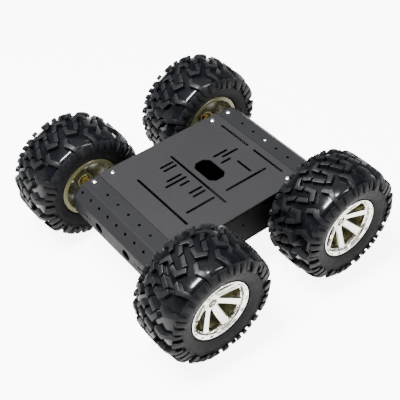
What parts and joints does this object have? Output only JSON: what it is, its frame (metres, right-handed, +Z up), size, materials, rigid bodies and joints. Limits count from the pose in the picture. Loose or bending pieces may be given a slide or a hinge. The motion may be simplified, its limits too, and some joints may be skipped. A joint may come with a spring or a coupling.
{
  "type": "wheeled robot chassis",
  "caption": "Four-wheel-drive robot chassis: black folded sheet body with a slotted top plate, side-mounted gearmotors and large knobbly off-road tyres on chrome spoked rims.",
  "frame": {"origin": "on the ground under the middle of the robot, midway between the four tyres", "axes": "+X forward, +Y to the robot's left along the axles, +Z up"},
  "size_m": [0.3, 0.297, 0.13],
  "materials": {
    "black_coating": "satin black anodised or powder-coated sheet",
    "steel": "bright nickel-plated steel",
    "gearbox_steel": "dark turned steel",
    "nylon": "black moulded nylon",
    "brass": "turned and milled brass",
    "chrome": "chrome-plated moulded plastic",
    "rubber": "black rubber, satin",
    "foam": "open-cell foam"
  },
  "bodies": {
    "chassis": {"base_tray": "black_coating", "top_plate": "black_coating", "front_cover": "black_coating", "rear_cover": "black_coating", "plate_screw_front_left": "steel", "cover_screw_front_left": "steel", "gearbox_front_left": "gearbox_steel", "motor_can_front_left": "steel", "motor_cap_front_left": "nylon", "motor_screw_front_left_1": "steel", "motor_screw_front_left_2": "steel", "plate_screw_front_right": "steel", "cover_screw_front_right": "steel", "gearbox_front_right": "gearbox_steel", "motor_can_front_right": "steel", "motor_cap_front_right": "nylon", "motor_screw_front_right_1": "steel", "motor_screw_front_right_2": "steel", "plate_screw_rear_left": "steel", "cover_screw_rear_left": "steel", "gearbox_rear_left": "gearbox_steel", "motor_can_rear_left": "steel", "motor_cap_rear_left": "nylon", "motor_screw_rear_left_1": "steel", "motor_screw_rear_left_2": "steel", "plate_screw_rear_right": "steel", "cover_screw_rear_right": "steel", "gearbox_rear_right": "gearbox_steel", "motor_can_rear_right": "steel", "motor_cap_rear_right": "nylon", "motor_screw_rear_right_1": "steel", "motor_screw_rear_right_2": "steel"},
    "wheel_front_left": {"output_shaft_front_left": "steel", "hex_coupling_front_left": "brass", "grub_screw_front_left": "steel", "rim_front_left": "chrome", "tyre_front_left": "rubber", "foam_insert_front_left": "foam", "wheel_screw_front_left": "steel"},
    "wheel_front_right": {"output_shaft_front_right": "steel", "hex_coupling_front_right": "brass", "grub_screw_front_right": "steel", "rim_front_right": "chrome", "tyre_front_right": "rubber", "foam_insert_front_right": "foam", "wheel_screw_front_right": "steel"},
    "wheel_rear_left": {"output_shaft_rear_left": "steel", "hex_coupling_rear_left": "brass", "grub_screw_rear_left": "steel", "rim_rear_left": "chrome", "tyre_rear_left": "rubber", "foam_insert_rear_left": "foam", "wheel_screw_rear_left": "steel"},
    "wheel_rear_right": {"output_shaft_rear_right": "steel", "hex_coupling_rear_right": "brass", "grub_screw_rear_right": "steel", "rim_rear_right": "chrome", "tyre_rear_right": "rubber", "foam_insert_rear_right": "foam", "wheel_screw_rear_right": "steel"}
  },
  "joints": [
    {"name": "wheel_front_left_spin", "type": "hinge", "parent": "chassis", "child": "wheel_front_left", "pos_m": [0.085, 0, 0.065], "axis": [0, 1, 0], "continuous": true},
    {"name": "wheel_front_right_spin", "type": "hinge", "parent": "chassis", "child": "wheel_front_right", "pos_m": [0.085, 0, 0.065], "axis": [0, 1, 0], "continuous": true},
    {"name": "wheel_rear_left_spin", "type": "hinge", "parent": "chassis", "child": "wheel_rear_left", "pos_m": [-0.085, 0, 0.065], "axis": [0, 1, 0], "continuous": true},
    {"name": "wheel_rear_right_spin", "type": "hinge", "parent": "chassis", "child": "wheel_rear_right", "pos_m": [-0.085, 0, 0.065], "axis": [0, 1, 0], "continuous": true}
  ]
}
